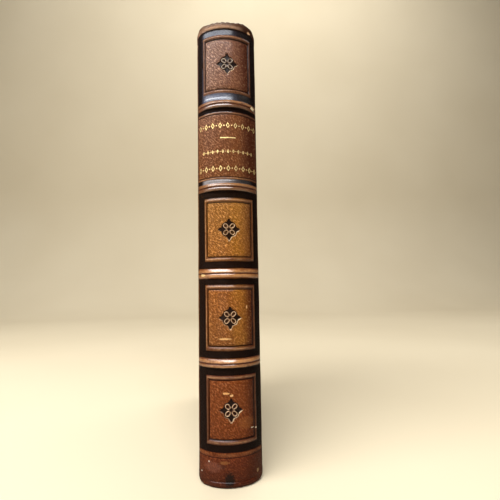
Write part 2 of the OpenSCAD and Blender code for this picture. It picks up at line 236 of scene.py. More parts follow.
def make_studio():
    """Pale floor that sweeps up into a backdrop, with soft light from above on the left."""
    curve = [(FLOOR_FRONT, 0.0), (SWEEP_START, 0.0)]
    for angle in np.linspace(0.1, math.pi / 2, 12):
        curve.append((SWEEP_START + SWEEP_R * math.sin(angle), SWEEP_R - SWEEP_R * math.cos(angle)))
    curve.append((SWEEP_START + SWEEP_R, BACKDROP_TOP))
    points = [(x, y, z) for y, z in curve for x in (-FLOOR_HALF_W, FLOOR_HALF_W)]
    faces = [(2 * i, 2 * i + 1, 2 * i + 3, 2 * i + 2) for i in range(len(curve) - 1)]
    floor = bpy.data.meshes.new("floor")
    floor.from_pydata(points, [], faces)
    floor.shade_smooth()
    floor.materials.append(floor_finish())
    add_object("floor", floor)

    world = bpy.data.worlds.new("world")
    world.use_nodes = True
    world.node_tree.nodes["Background"].inputs["Color"].default_value = (1.0, 0.97, 0.93, 1)
    world.node_tree.nodes["Background"].inputs["Strength"].default_value = 0.12
    bpy.context.scene.world = world
    bpy.context.scene.view_settings.view_transform = "Standard"
    for light in LIGHTS:
        add_light(*light)


def tone(code):
    """Linear colour of a hex tone."""
    parts = [int(code[i : i + 2], 16) / 255 for i in (1, 3, 5)]
    return tuple(p / 12.92 if p <= 0.04045 else ((p + 0.055) / 1.055) ** 2.4 for p in parts) + (1.0,)


class Val:
    """Socket of a finish. Sums and products of it add Math nodes."""

    def __init__(self, finish, socket):
        self.finish = finish
        self.socket = socket

    def maths(self, operation, *others):
        return self.finish.node("Math", {"operation": operation}, dict(enumerate((self, *others))))

    def __add__(self, other):
        return self.maths("ADD", other)

    def __sub__(self, other):
        return self.maths("SUBTRACT", other)

    def __rsub__(self, other):
        return self.finish.node("Math", {"operation": "SUBTRACT"}, {0: other, 1: self})

    def __mul__(self, other):
        return self.maths("MULTIPLY", other)

    def __truediv__(self, other):
        return self.maths("DIVIDE", other)

    def __pow__(self, other):
        return self.maths("POWER", other)

    def __abs__(self):
        return self.maths("ABSOLUTE")

    __radd__ = __add__
    __rmul__ = __mul__

    def least(self, other):
        return self.maths("MINIMUM", other)

    def most(self, other):
        return self.maths("MAXIMUM", other)

    def step(self, low, high):
        """0 below low, 1 above high, smooth between them."""
        return self.finish.node(
            "MapRange",
            {"interpolation_type": "SMOOTHSTEP"},
            {"Value": self, "From Min": low, "From Max": high},
        )

    def within(self, low, high, soft):
        """1 between low and high, with soft edges."""
        return self.step(low - soft, low + soft) * (1 - self.step(high - soft, high + soft))


class Finish:
    """Material made of nodes. Every node comes from node()."""

    def __init__(self, name):
        self.material = bpy.data.materials.new(name)
        self.material.use_nodes = True
        self.tree = self.material.node_tree
        self.tree.nodes.clear()

    def node(self, kind, settings=None, sockets=None, output=0):
        """Adds a node and gives the value of its output, which is a number or a name."""
        made = self.tree.nodes.new("ShaderNode" + kind)
        for key, value in (settings or {}).items():
            if key == "stops":
                self.set_stops(made.color_ramp, value)
            else:
                setattr(made, key, value)
        for key, value in (sockets or {}).items():
            socket = made.inputs[key] if isinstance(key, int) else named(made.inputs, key)
            if isinstance(value, Val):
                self.tree.links.new(value.socket, socket)
            else:
                socket.default_value = value
        if not made.outputs:
            return None
        return Val(self, made.outputs[output] if isinstance(output, int) else named(made.outputs, output))

    def set_stops(self, ramp, stops):
        while len(ramp.elements) < len(stops):
            ramp.elements.new(0.5)
        for stop, (place, colour) in zip(ramp.elements, stops):
            stop.position = place
            stop.color = colour

    def parts(self, vector):
        """The three parts of a vector in metres, as values in millimetres."""
        first = self.node("SeparateXYZ", {}, {0: vector})
        return [Val(self, socket) * (1 / MM) for socket in first.socket.node.outputs]

    def place(self):
        return self.parts(self.node("TexCoord", {}, {}, "Object"))

    def noise(self, x, y, z, scale, detail=2.0, rough=0.5):
        vector = self.node("CombineXYZ", {}, {0: x, 1: y, 2: z})
        sockets = {"Vector": vector, "Scale": scale, "Detail": detail, "Roughness": rough}
        return self.node("TexNoise", {}, sockets)

    def cells(self, x, y, z, scale):
        vector = self.node("CombineXYZ", {}, {0: x, 1: y, 2: z})
        return self.node("TexVoronoi", {}, {"Vector": vector, "Scale": scale})

    def blend(self, factor, first, second):
        return self.node(
            "Mix",
            {"data_type": "RGBA", "clamp_factor": True},
            {"Factor_Float": factor, "A_Color": first, "B_Color": second},
            "Result_Color",
        )

    def ramp(self, factor, stops):
        return self.node("ValToRGB", {"stops": stops}, {"Fac": factor}, "Color")

    def surface(self, base, rough, metal=0.0, coat=0.0, bump=None, depth=0.1, sheen=0.0, specular=0.5):
        """Principled surface. bump is a height from 0 to 1, and depth is the millimetres of 1."""
        sockets = {
            "Base Color": base,
            "Roughness": rough,
            "Metallic": metal,
            "Coat Weight": coat,
            "Coat Roughness": 0.24,
            "Coat IOR": 1.7,
            "Sheen Weight": sheen,
            "Specular IOR Level": specular,
        }
        if bump is not None:
            raised = {"Height": bump, "Distance": depth * MM, "Strength": 1.0}
            sockets["Normal"] = self.node("Bump", {}, raised)
        shader = self.node("BsdfPrincipled", {}, sockets)
        self.node("OutputMaterial", {}, {"Surface": shader})


def named(sockets, name):
    return next(s for s in sockets if name in (s.identifier, s.name))


# Stretches of height over which the spine's looks change: where a change starts and where it is done
PALE_GRAIN = (20, 60)
LOW_PANEL_END = (45, 52)
UPPER_BANDS = (115, 125)
GLOSSY_BLACK = (118, 134)
HEAD_PANELS = (140, 150)
COOL_REFLECTION = (142, 150)
DUST = (140, 200)
TOP_BORDER = (200, 204)
LOWEST_BAND = (48, 60)

# Tones of the leather's fields, from the tail to the head
FIELD_TONES = (
    (0.0, "#43180b"),
    (12.5, "#6a2c12"),
    (15.5, "#7a3b18"),
    (50.0, "#8a4519"),
    (60.0, "#935927"),
    (90.0, "#a96425"),
    (101.0, "#ad6c2a"),
    (133.0, "#b47b3a"),
    (143.0, "#7d4a29"),
    (172.0, "#84502f"),
    (183.0, "#84543a"),
    (216.0, "#8a6250"),
)

# Scuffs and stains, and one painted highlight on the cap: arc, height, half width, half height, strength,
# tone
SCUFFS_AND_HIGHLIGHT = (
    (8.1, 79.5, 0.45, 0.9, 0.8, "#d8a870"),
    (-2.4, 65.2, 3.2, 0.5, 0.75, "#e0b070"),
    (-2.3, 41.0, 1.7, 0.5, 0.85, "#d9a566"),
    (0.2, 40.0, 0.9, 0.55, 0.85, "#e8bc80"),
    (7.0, 27.5, 4.5, 3.0, 0.13, "#c07a3c"),
    (10.3, 24.8, 1.1, 0.3, 0.8, "#d8c4a8"),
    (12.4, 24.3, 0.5, 0.35, 0.8, "#d8c4a8"),
    (13.8, 178.0, 1.5, 1.1, 0.85, "#ead9b4"),
    # Painted highlight on the right of the cap, not a scuff
    (12.4, 217.8, 1.5, 0.42, 0.85, "#d9ad86"),
    (-13.4, 94.6, 1.7, 0.6, 0.6, "#e6c88c"),
    (-10.9, 11.0, 0.4, 0.4, 0.95, "#e8dcc8"),
    (-15.4, 5.5, 0.35, 0.35, 0.9, "#e0d0ba"),
    (13.5, 5.0, 0.8, 1.0, 0.5, "#b08a60"),
    (-1.0, 3.7, 2.5, 3.7, 0.9, "#150c08"),
    (-4.5, 9.4, 2.5, 1.3, 0.5, "#3a2016"),
    (-3.5, 11.0, 2.6, 0.8, 0.3, "#a8703c"),
    (-9.0, 8.8, 5.0, 2.6, 0.16, "#a06a58"),
)


def spine_places(finish):
    """Where a point of the leather lies: on the spine, in its panel and inward of its black border."""
    arc, height, _ = finish.parts(finish.node("UVMap", {"uv_map": "leather"}, {}))
    far = abs(arc)

    # Hand tooling never runs quite straight
    sway = (finish.noise(arc, height, 0.0, 0.35) - 0.5) * 0.35
    along = (height + sway - TAIL_PANEL + BAND_DROP) / PITCH
    panel = along.maths("FLOOR")
    part = along - panel
    gap = part.least(1 - part) * PITCH
    upper = part.step(0.49, 0.51)
    gilt = panel.within(GILT_PANEL - 0.5, GILT_PANEL + 0.5, 0.01)
    on_panels = height.step(TAIL_PANEL - 0.1, TAIL_PANEL + 0.1)

    past_band = gap - BAND_HALF
    lean = (1 - arc.step(-0.5, 0.5)) * (LEAN_AT_TAIL - height * LEAN_LOSS)
    from_side = (RIDGE_ARC - lean - far + sway) * SIDE_STRETCH
    framed_in = (past_band - FOOT_BORDER + upper * (FOOT_BORDER - HEAD_BORDER)).least(from_side)
    gilt_in = (past_band - GILT_BORDER) * GILT_STRETCH
    inward = framed_in * (1 - gilt) + gilt_in * gilt
    inward = inward * on_panels + (1 - on_panels) * UNFRAMED
    return SimpleNamespace(
        arc=arc,
        height=height,
        far=far,
        part=part,
        gap=gap,
        upper=upper,
        gilt=gilt,
        on_panels=on_panels,
        inward=inward,
    )


def tooling_masks(at):
    """1 on each border, line, band and cap, and 0 off it."""
    on = SimpleNamespace()
    on.round = 1 - at.far.step(BLACK_ARC - 0.3, BLACK_ARC + 0.3)
    on.low_side = at.height.within(*LOWEST_BAND, 1) * at.upper
    below_cap = 1 - at.height.step(CAP_FOOT + 0.1, CAP_FOOT + 0.4)
    edge = BAND_HALF + 0.1 - at.height.step(*UPPER_BANDS) * 0.45 - on.low_side * 0.75
    in_border = 1 - at.inward.step(-0.1, 0.25)
    on.black = in_border * at.gap.step(edge - 0.25, edge + 0.25) * on.round * below_cap

    on.ridge = at.inward.within(0.1, RIDGE - 0.2, 0.2) * on.round
    on.crest = at.inward.within(0.55, 1.2, 0.25)
    on.frame_side = at.far.step(PANEL_ARC - 1.4, PANEL_ARC - 0.6) * at.gap.step(6.2, 7.2)
    on.groove = at.inward.within(RIDGE - 0.2, FRAME_W + 0.05, 0.14) * on.round
    on.field = at.inward.step(FRAME_W - 0.05, FRAME_W + 0.15)
    on.tail_line = at.height.within(TAIL_LINE - 0.2, TAIL_LINE + 0.15, 0.08)
    on.tail_roll = at.height.within(TAIL_LINE + 0.5, TAIL_LINE + 1.7, 0.4) * on.round

    between_ends = at.height.step(30, 31) * (1 - at.height.step(200, 201))
    near_band = 1 - at.gap.step(BAND_HALF - 0.05, BAND_HALF + 0.3)
    on.band = near_band * between_ends * (1 - at.far.step(17.2, 18.2))
    on.band_line = (1 - at.gap.step(0.15, 0.42)) * on.band
    on.raised = (on.ridge * at.on_panels + on.band).least(1)

    on.cap = at.height.step(CAP_FOOT + 0.25, CAP_FOOT + 0.6) * (1 - at.far.step(15.5, 17.5))
    on.brim = at.height.step(BOOK_H - 1.5, BOOK_H - 0.6) * on.cap
    on.crease = at.height.within(CAP_FOOT - 0.2, CAP_FOOT + 0.45, 0.15) * on.round
    on.shiny = at.height.step(*GLOSSY_BLACK) * (1 - at.upper * (1 - at.height.step(*TOP_BORDER)))
    on.shiny = on.shiny * (1 - at.far.step(11.5, 14.5))
    return on


def flower_masks(finish, at, field):
    """The flower's black ground, the pale rims of its petals, partly a painted highlight, and a painted
    highlight on its edge low on the right.
    """
    rise = (at.part - FLOWER_PART) * PITCH
    middle = abs(rise)
    out = at.far.most(middle) * (1 / FLOWER_UNIT)
    side = at.far.least(middle) * (1 / FLOWER_UNIT)
    stops = [(p / LEAF_LONG, (w / LEAF_WIDEST,) * 3 + (1,)) for p, w in LEAF]
    leaf_half = finish.ramp(out / LEAF_LONG, stops) * LEAF_WIDEST
    leaf = (leaf_half - side).step(-0.08, 0.1) * (1 - out.step(LEAF_LONG - 0.1, LEAF_LONG))

    length = (at.far + middle) * (DIAGONAL / FLOWER_UNIT) - PETAL_PLACE
    across = (at.far - middle) * (DIAGONAL / FLOWER_UNIT / PETAL_WIDE)
    length = length.most(0) * (1 / PETAL_END) + length.least(0) * (1 / PETAL_TAIL)
    petal = (length * length + across * across) ** 0.5
    core = 1 - petal.step(PETAL_CORE - 0.1, PETAL_CORE + 0.1)
    rim = petal.within(PETAL_CORE, 0.96, 0.08) * length.step(-0.95, -0.55)
    whole = 1 - petal.step(1.14, 1.3)

    near = field * (1 - at.gilt) * at.on_panels
    near = near * (1 - at.far.step(FLOWER_REACH, FLOWER_REACH + 0.1))
    near = near * (1 - middle.step(FLOWER_REACH, FLOWER_REACH + 0.1))
    ground = leaf.most(whole) * (1 - rim) * (1 - core * 0.15) * near
    rims = rim * near * (1 - ground)

    # Where the painted highlight on the flower's edge goes: below its middle, mostly on the right
    low_right = (0 - rise).step(0.1, 0.8) * (0.2 + at.arc.step(-2.5, 1.5) * 0.8)
    lit_brink = (leaf_half + 0.45 - side).step(-0.1, 0.1) * (1 - out.step(LEAF_LONG + 0.3, LEAF_LONG + 0.5))
    lit_brink = lit_brink.most(petal.within(1.15, 1.5, 0.08))
    lit_brink = lit_brink * (1 - leaf) * (1 - ground) * (1 - petal.within(-1, 1.1, 0.1))
    return ground, rims, lit_brink * near * low_right


def leather_wear(finish, at):
    """Grain of short wrinkles that run down to the right, pores, and clouds and patches of wear."""
    arc, height = at.arc, at.height
    cross = (arc + height) * DIAGONAL
    run = (arc - height) * DIAGONAL
    warp = finish.noise(arc, height, 5.0, 0.5) * 1.6
    wrinkle = finish.noise(run * 0.45 + warp * 0.5, cross * 1.1 + warp * 0.3, 0.0, 1.75, detail=3, rough=0.6)
    grain = wrinkle * 0.84 + finish.cells(arc + warp, height, 0.0, 2.2) * 0.16
    return SimpleNamespace(
        grain=grain,
        deep=grain.step(0.4, 0.6),
        pores=finish.noise(arc, height, 9.0, 4.0, detail=2),
        cloud=finish.noise(arc, height, 2.0, 0.09, detail=3),
        blotch=finish.noise(arc, height, 4.0, 0.4, detail=4, rough=0.6),
        worn=finish.noise(arc, height, 7.0, 0.22, detail=4, rough=0.65),
        shred=finish.noise(arc, height, 3.0, 1.4, detail=4, rough=0.7),
    )


def field_tone(finish, at, wear):
    """Brown of the panels: yellower in the middle ones, with painted shade on the right, dusty high on the
    left.
    """
    stops = [(height / BOOK_H, tone(code)) for height, code in FIELD_TONES]
    colour = finish.ramp(at.height / BOOK_H, stops)
    yellow = at.arc.within(1.0, 8.5, 2.0) * at.height.within(60, 139, 3)
    colour = finish.blend(yellow * wear.cloud.step(0.3, 0.6) * 0.36, colour, tone("#b87c22"))
    colour = finish.blend(wear.blotch.step(0.5, 0.72) * 0.35, colour, tone("#7a3c16"))
    # Painted shade: darker on the right of the round, away from the light, wider at the head and less in one
    # middle panel
    right = (at.arc + at.height.step(180, 200) * 1.6).step(4.2, 11.8)
    right = right * (0.96 - at.height.within(98, 139, 4) * 0.3)
    colour = finish.blend(right, colour, tone("#481a07"))
    dusty = at.height.step(*DUST) * (1 - at.arc.step(-8, 4))
    colour = finish.blend(dusty * 0.5, colour, tone("#a58676"))
    side_tone = finish.blend(wear.cloud, tone("#35190c"), tone("#4a2515"))
    return finish.blend(at.far.step(RIDGE_ARC + 2.6, BLACK_ARC + 1.0) * 0.85, colour, side_tone)


def ridge_tone(finish, at, on, wear):
    """Raised line of a frame: rubbed pale on its crest, with painted shade on the right, and darker in the
    end panels.
    """
    colour = finish.blend(on.crest * wear.worn.step(0.3, 0.6), tone("#4f2813"), tone("#a67a52"))
    # Painted shade on the right of the ridge, away from the light
    colour = finish.blend(at.arc.step(4, 12) * 0.6, colour, tone("#4a2a18"))
    ends = at.height.step(*HEAD_PANELS).most(1 - at.height.step(*LOW_PANEL_END))
    colour = finish.blend(ends * 0.4, colour, tone("#583a2a"))
    return finish.blend(ends * on.frame_side * 0.5, colour, tone("#2e180e"))


def band_tone(finish, at, on, wear):
    """Band: pale on both beads, partly rubbed and partly a painted highlight, darker at its edges and ends,
    and with painted shade on the upper bands.
    """
    # Pale beads: partly rubbed leather, partly a painted highlight
    lit = at.gap.within(0.5, 1.75, 0.2) * wear.worn.step(0.25, 0.5)
    colour = finish.blend(lit, tone("#6e3d1a"), tone("#b17a44"))
    colour = finish.blend(at.gap.step(1.7, 2.3) * 0.6, colour, tone("#6a3a1a"))
    # Painted shade: the upper bands are darker, most on their lower halves, which face down
    colour = finish.blend(at.height.step(*UPPER_BANDS) * (0.45 + at.upper * 0.35), colour, tone("#3c1f0e"))
    colour = finish.blend(on.low_side * 0.4, colour, tone("#3c1f0e"))
    return finish.blend(at.far.step(8, 15) * 0.45, colour, tone("#5a2c14"))


def cap_tone(finish, at, wear):
    """Rolled cap: dark on the right, with a lit line on the left of its middle."""
    colour = finish.blend(at.arc.step(-4, 10), tone("#705540"), tone("#341d10"))
    lit = at.height.within(BOOK_H - 2.5, BOOK_H - 1.6, 0.35)
    lit = lit * at.arc.step(-15, -8) * (1 - at.arc.step(2, 10))
    colour = finish.blend(lit * 0.6, colour, tone("#cfa88e"))
    return finish.blend(wear.worn.step(0.5, 0.75) * 0.6, colour, tone("#452a1a"))


def black_tone(finish, at, on, wear):
    """Ink of the borders: deep black, with a painted grey reflection where it shines, bluer towards the
    head.
    """
    colour = finish.blend(wear.blotch, tone("#060202"), tone("#120805"))
    # Painted reflection: a grey sheen put into the ink's colour where it shines, not a bloom on the ink
    painted_reflection = on.shiny * (1 - at.arc.step(-4, 8)) * (0.5 + wear.blotch * 0.6)
    painted_reflection = painted_reflection * (1 - at.height.step(*TOP_BORDER) * 0.5)
    painted_reflection = painted_reflection * (1 - at.height.step(CAP_FOOT - 1.1, CAP_FOOT - 0.5))
    grey = finish.blend(at.height.step(*COOL_REFLECTION), tone("#7d7676"), tone("#484c5e"))
    return finish.blend(painted_reflection, colour, grey)


def add_grain(finish, at, on, wear, colour):
    """The colour with dark wrinkles, and pale specks painted as highlights on the grain's raised tops,
    between the borders and lines.
    """
    on_side = at.far.step(BLACK_ARC, JOINT_ARC + 2)
    grained = (1 - (on.black + on.groove + on.cap).least(1)) * (1 - on_side * 0.5)
    pale = grained * (0.25 + at.height.step(*PALE_GRAIN) * 0.75) * (1 - on.raised)
    strength = (0.64 - at.arc.step(-6, 8) * 0.16) * (1 - on.raised * 0.6)
    colour = finish.blend((wear.deep * strength + 0.1) * grained, colour, tone("#331406"))
    # Painted highlight: pale specks on the grain's raised tops
    colour = finish.blend((1 - wear.grain.step(0.3, 0.48)) * pale * strength * 0.4, colour, tone("#d8ac7c"))
    return finish.blend(wear.pores.step(0.58, 0.75) * pale * 0.12, colour, tone("#dcb27a"))


def add_scuffs_and_highlight(finish, at, wear, colour):
    """The colour with ragged scuffs and stains on it, and one painted highlight on the cap."""
    for arc, height, half_w, half_h, strength, code in SCUFFS_AND_HIGHLIGHT:
        across = (at.arc - arc) * (1 / half_w)
        up = (at.height - height) * (1 / half_h)
        reach = (across**2.0 + up**2.0) ** 0.5
        spot = 1 - (reach + (wear.shred - 0.5) * 1.6).step(0.6, 1.1)
        colour = finish.blend(spot * strength, colour, tone(code))
    return colour


def leather_polish(at, on, wear):
    """Strength of the polish: high on rubbed bands and on parts of the black, low elsewhere."""
    on_black = on.black * (0.03 + on.shiny * (0.6 - at.height.step(*TOP_BORDER) * 0.34))
    on_black = on_black * (1 - at.height.step(CAP_FOOT - 0.9, CAP_FOOT - 0.4))
    on_band = (on.band - on.band_line) * (1 - on.black) * 0.95
    on_ridge = on.ridge * (0.32 - on.frame_side * 0.2)
    polish = on_black.most(on_band).most(on_ridge).most((1 - on.black) * 0.1)
    return polish * wear.worn.step(0.15, 0.45)


def leather_finish():
    """Tooled leather of the spine, joints and cover strips. It reads the arc and height of its own map."""
    finish = Finish("tooled_leather")
    at = spine_places(finish)
    on = tooling_masks(at)
    wear = leather_wear(finish, at)
    ground, rims, lit_brink = flower_masks(finish, at, on.field)

    colour = field_tone(finish, at, wear)
    colour = finish.blend(on.ridge * at.on_panels * 0.85, colour, ridge_tone(finish, at, on, wear))
    colour = finish.blend(on.band * 0.92, colour, band_tone(finish, at, on, wear))
    colour = finish.blend(on.band_line * 0.85, colour, tone("#38190c"))
    colour = finish.blend(on.cap * 0.9, colour, cap_tone(finish, at, wear))
    colour = add_grain(finish, at, on, wear, colour)
    colour = finish.blend(on.brim * 0.75, colour, tone("#3f2718"))
    colour = finish.blend(on.crease * 0.9, colour, tone("#150b07"))
    # Lighter on the tail's raised roll: partly rubbed leather, partly a painted highlight
    colour = finish.blend(on.tail_roll * wear.worn.step(0.3, 0.6) * 0.25, colour, tone("#a46c42"))
    colour = finish.blend(on.groove.most(on.tail_line) * on.round * 0.92, colour, tone("#180b06"))
    patchy = on.black * (1 - wear.worn.step(0.66, 0.85) * 0.25)
    colour = finish.blend(patchy * 0.99, colour, black_tone(finish, at, on, wear))

    rubbed = wear.worn.step(0.3, 0.55)
    colour = finish.blend(ground * 0.96, colour, tone("#0e0605"))
    # Pale rims of the petals: partly unstamped leather, partly a painted highlight
    rim_and_highlight_tone = finish.blend(at.height.step(*HEAD_PANELS), tone("#cfae8b"), tone("#d2c4b4"))
    colour = finish.blend(rims * (0.5 + rubbed * 0.35), colour, rim_and_highlight_tone)
    # Painted highlight on the stamp's edge low on the right
    colour = finish.blend(lit_brink * rubbed * 0.75, colour, tone("#e6cba2"))
    colour = add_scuffs_and_highlight(finish, at, wear, colour)

    rough = 0.5 - on.ridge * 0.06 - on.band * 0.1 + wear.deep * 0.1 + (wear.blotch - 0.5) * 0.25
    quiet = (1 - on.black * 0.6) * (1 - on.band * 0.6) * (1 - on.cap * 0.3) * (1 - on.ridge * 0.5)
    relief = (1 - wear.deep) * quiet + wear.pores * 0.15 + wear.blotch * 0.25
    relief = relief - ground * 0.8 - on.groove * 0.6
    polish = leather_polish(at, on, wear)
    finish.surface(base=colour, rough=rough, bump=relief, depth=0.42, specular=0.02, coat=polish)
    return finish.material


def gold_finish():
    finish = Finish("gold_leaf")
    x, y, z = finish.place()
    worn = finish.noise(x, y, z, 1.6, detail=4, rough=0.7).step(0.5, 0.68)
    colour = finish.blend(finish.noise(x, y, z, 0.5), tone("#f0d9a0"), tone("#d9b566"))
    colour = finish.blend(worn * 0.75, colour, tone("#8a6238"))
    finish.surface(base=colour, rough=0.34 + worn * 0.25, metal=0.85 - worn * 0.7, bump=worn, depth=0.03)
    return finish.material


def siding_finish():
    """Dark grained paper of the covers' sides: small pebbles, rubbed on the edges."""
    finish = Finish("grained_siding")
    x, y, z = finish.place()
    warp = finish.noise(x, y, z, 0.4) * 0.8
    pebble = finish.cells(x, y + warp, z, 0.75).step(0.12, 0.6)
    fine = finish.noise(x, y, z, 2.6, detail=3)
    cloud = finish.noise(x, y, z, 0.03, detail=4, rough=0.6)
    rub = finish.noise(x, y, z, 0.12, detail=5, rough=0.7)
    edge = abs(z - BOOK_H / 2).step(BOOK_H / 2 - 3.5, BOOK_H / 2 + 0.2)
    edge = edge.most(y.step(FORE_EDGE_Y - 3.5, FORE_EDGE_Y + 0.2))
    colour = finish.blend(cloud, tone("#2f1c13"), tone("#54372a"))
    colour = finish.blend(pebble * 0.6, colour, tone("#17100d"))
    colour = finish.blend(edge * rub.step(0.45, 0.68) * 0.6, colour, tone("#7d5f45"))
    colour = finish.blend(rub.step(0.62, 0.74) * 0.35, colour, tone("#6d4d38"))
    relief = (1 - pebble) * 0.85 + fine * 0.15
    rough = 0.5 + cloud * 0.14 + edge * 0.15
    finish.surface(base=colour, rough=rough, bump=relief, depth=0.4, specular=0.25)
    return finish.material


def paper_finish(name, light, dark, foxed):
    """Aged paper: darker towards its edges, with foxing spots."""
    finish = Finish(name)
    x, y, z = finish.place()
    cloud = finish.noise(x, y, z, 0.03, detail=4, rough=0.6)
    fibre = finish.noise(x, y * 0.35, z, 2.2, detail=3)
    spot = finish.noise(x, y, z, 0.16, detail=2).step(0.66, 0.74)
    edge = abs(z - BOOK_H / 2).step(BOOK_H / 2 - 22, BOOK_H / 2 - 2)
    edge = edge.most(abs(y).step(FORE_EDGE_Y - 24, FORE_EDGE_Y - 2))
    colour = finish.blend(cloud.step(0.35, 0.7), tone(light), tone(dark))
    colour = finish.blend(edge * 0.45, colour, tone(dark))
    colour = finish.blend(spot * foxed, colour, tone("#8a5a30"))
    colour = finish.blend(fibre.step(0.55, 0.75) * 0.15, colour, tone("#f0e4c8"))
    finish.surface(base=colour, rough=0.82, bump=fibre, depth=0.03, specular=0.25)
    return finish.material


def page_finish():
    """Edges of the leaves: hair lines across the thickness, browned and dusty at the head."""
    finish = Finish("page_edges")
    x, y, z = finish.place()
    sway = (finish.noise(x * 0.2, y, z, 0.05, detail=1) - 0.5) * 0.5
    leaf = finish.noise((x + sway) * 8.0, y * 0.03, z * 0.03, 1.0, detail=3, rough=0.7)
    fold = finish.noise((x + sway) * 0.9, y * 0.01, z * 0.01, 1.0, detail=1)
    cloud = finish.noise(x, y, z, 0.04, detail=4, rough=0.6)
    colour = finish.blend(leaf.step(0.35, 0.65), tone("#8f7648"), tone("#d2bd8e"))
    colour = finish.blend(fold.step(0.4, 0.7) * 0.3, colour, tone("#a58a58"))
    colour = finish.blend(z.step(PAGE_HI - 0.3, PAGE_HI) * 0.4, colour, tone("#6f5b3c"))
    colour = finish.blend(cloud.step(0.5, 0.75) * 0.4, colour, tone("#8c6d3e"))
    finish.surface(base=colour, rough=0.78, bump=leaf, depth=0.12, specular=0.25)
    return finish.material


def board_finish(name, light, dark):
    """Pulpy grey-brown board or card."""
    finish = Finish(name)
    x, y, z = finish.place()
    pulp = finish.noise(x, y, z, 1.2, detail=4, rough=0.7)
    fleck = finish.noise(x, y, z, 0.5, detail=2).step(0.62, 0.7)
    colour = finish.blend(pulp, tone(dark), tone(light))
    colour = finish.blend(fleck * 0.4, colour, tone("#3f3020"))
    finish.surface(base=colour, rough=0.85, bump=pulp, depth=0.08, specular=0.25)
    return finish.material


def thread_finish(name, light, dark):
    """Twisted thread of a cord or a headband."""
    finish = Finish(name)
    x, y, z = finish.place()
    ply = finish.noise(x * 1.5, y * 1.5, z * 4.0, 1.6, detail=2)
    dirt = finish.noise(x, y, z, 0.35, detail=3)
    colour = finish.blend(ply.step(0.35, 0.65), tone(dark), tone(light))
    colour = finish.blend(dirt.step(0.5, 0.8) * 0.4, colour, tone("#4a3626"))
    finish.surface(base=colour, rough=0.6, bump=ply, depth=0.08, sheen=0.3, specular=0.3)
    return finish.material


def spaced(low, high, zones, fine, coarse):
    """Stations from low to high, close together inside the zones."""
    stations = []
    at = low
    while at < high - 0.25 * fine:
        stations.append(at)
        at += fine if any(a <= at < b for a, b in zones) else coarse
    return stations + [high]


def smooth(x, low, high):
    t = np.clip((x - low) / (high - low), 0, 1)
    return t * t * (3 - 2 * t)


def hump(x, middle, half):
    """1 at the middle, falling off to both sides."""
    return np.exp(-(((x - middle) / half) ** 2))


def outline_point(arc):
    """Point of the book's outline seen from the head, at an arc from its middle."""
    far = np.abs(arc)
    angle = np.minimum(far, JOINT_ARC) / SPINE_R
    x = SPINE_R * np.sin(angle)
    y = AXIS_Y - SPINE_R * np.cos(angle) + np.maximum(far - JOINT_ARC, 0)
    return np.sign(arc) * x, y


def softened_point(arc):
    """The same with its corner at the joint softened."""
    steps = np.linspace(-1.6, 1.6, 9)
    weights = hump(steps, 0, 0.75)
    weights /= weights.sum()
    points = [outline_point(arc + step) for step in steps]
    return [sum(w * point[k] for w, point in zip(weights, points)) for k in (0, 1)]


def outline(arc):
    """Softened point of the outline and its outward direction."""
    tiny = 0.01
    x, y = softened_point(arc)
    ahead_x, ahead_y = softened_point(arc + tiny)
    dx, dy = ahead_x - x, ahead_y - y
    length = np.hypot(dx, dy)
    return x, y, dy / length, -dx / length


def end_inset(arc):
    """How far the leather's end lies in from the head or the tail at an arc."""
    far = np.abs(arc)
    x = np.abs(outline_point(arc)[0])
    past = np.clip(x - (HALF_T + 0.08 - CORNER_R), 0, CORNER_R - 0.05)
    corner = CORNER_R - np.sqrt(CORNER_R**2 - past**2)
    y = JOINT_Y + far - JOINT_ARC
    slope = np.clip(2.6 * (BOARD_Y + 5 - y) / 5, 0, 3.3)
    return np.where(far < JOINT_ARC, corner, np.minimum(slope, 2.4 + 0.5 * (far - JOINT_ARC)))


def flower_depth(x, z):
    """Depth of the stamped flower from 0 to 1, and height of its petals' rims."""
    out = np.maximum(np.abs(x), np.abs(z)) / FLOWER_UNIT
    side = np.minimum(np.abs(x), np.abs(z)) / FLOWER_UNIT
    half = np.interp(out, [p for p, _ in LEAF], [w for _, w in LEAF])
    leaf = smooth(half - side, -0.12, 0.16) * (out < LEAF_LONG)
    length = (np.abs(x) + np.abs(z)) * DIAGONAL / FLOWER_UNIT - PETAL_PLACE
    across = (np.abs(x) - np.abs(z)) * DIAGONAL / FLOWER_UNIT / PETAL_WIDE
    length = np.where(length > 0, length / PETAL_END, length / PETAL_TAIL)
    petal = np.hypot(length, across)
    core = 1 - smooth(petal, PETAL_CORE - 0.25, PETAL_CORE + 0.1)
    rim = smooth(petal, PETAL_CORE - 0.1, PETAL_CORE + 0.15) * (1 - smooth(petal, 0.85, 1.05))
    rim = rim * smooth(length, -1.0, -0.55)
    whole = 1 - smooth(petal, 1.1, 1.35)
    return np.maximum(np.maximum(leaf, 0.85 * whole) * (1 - rim), core), rim


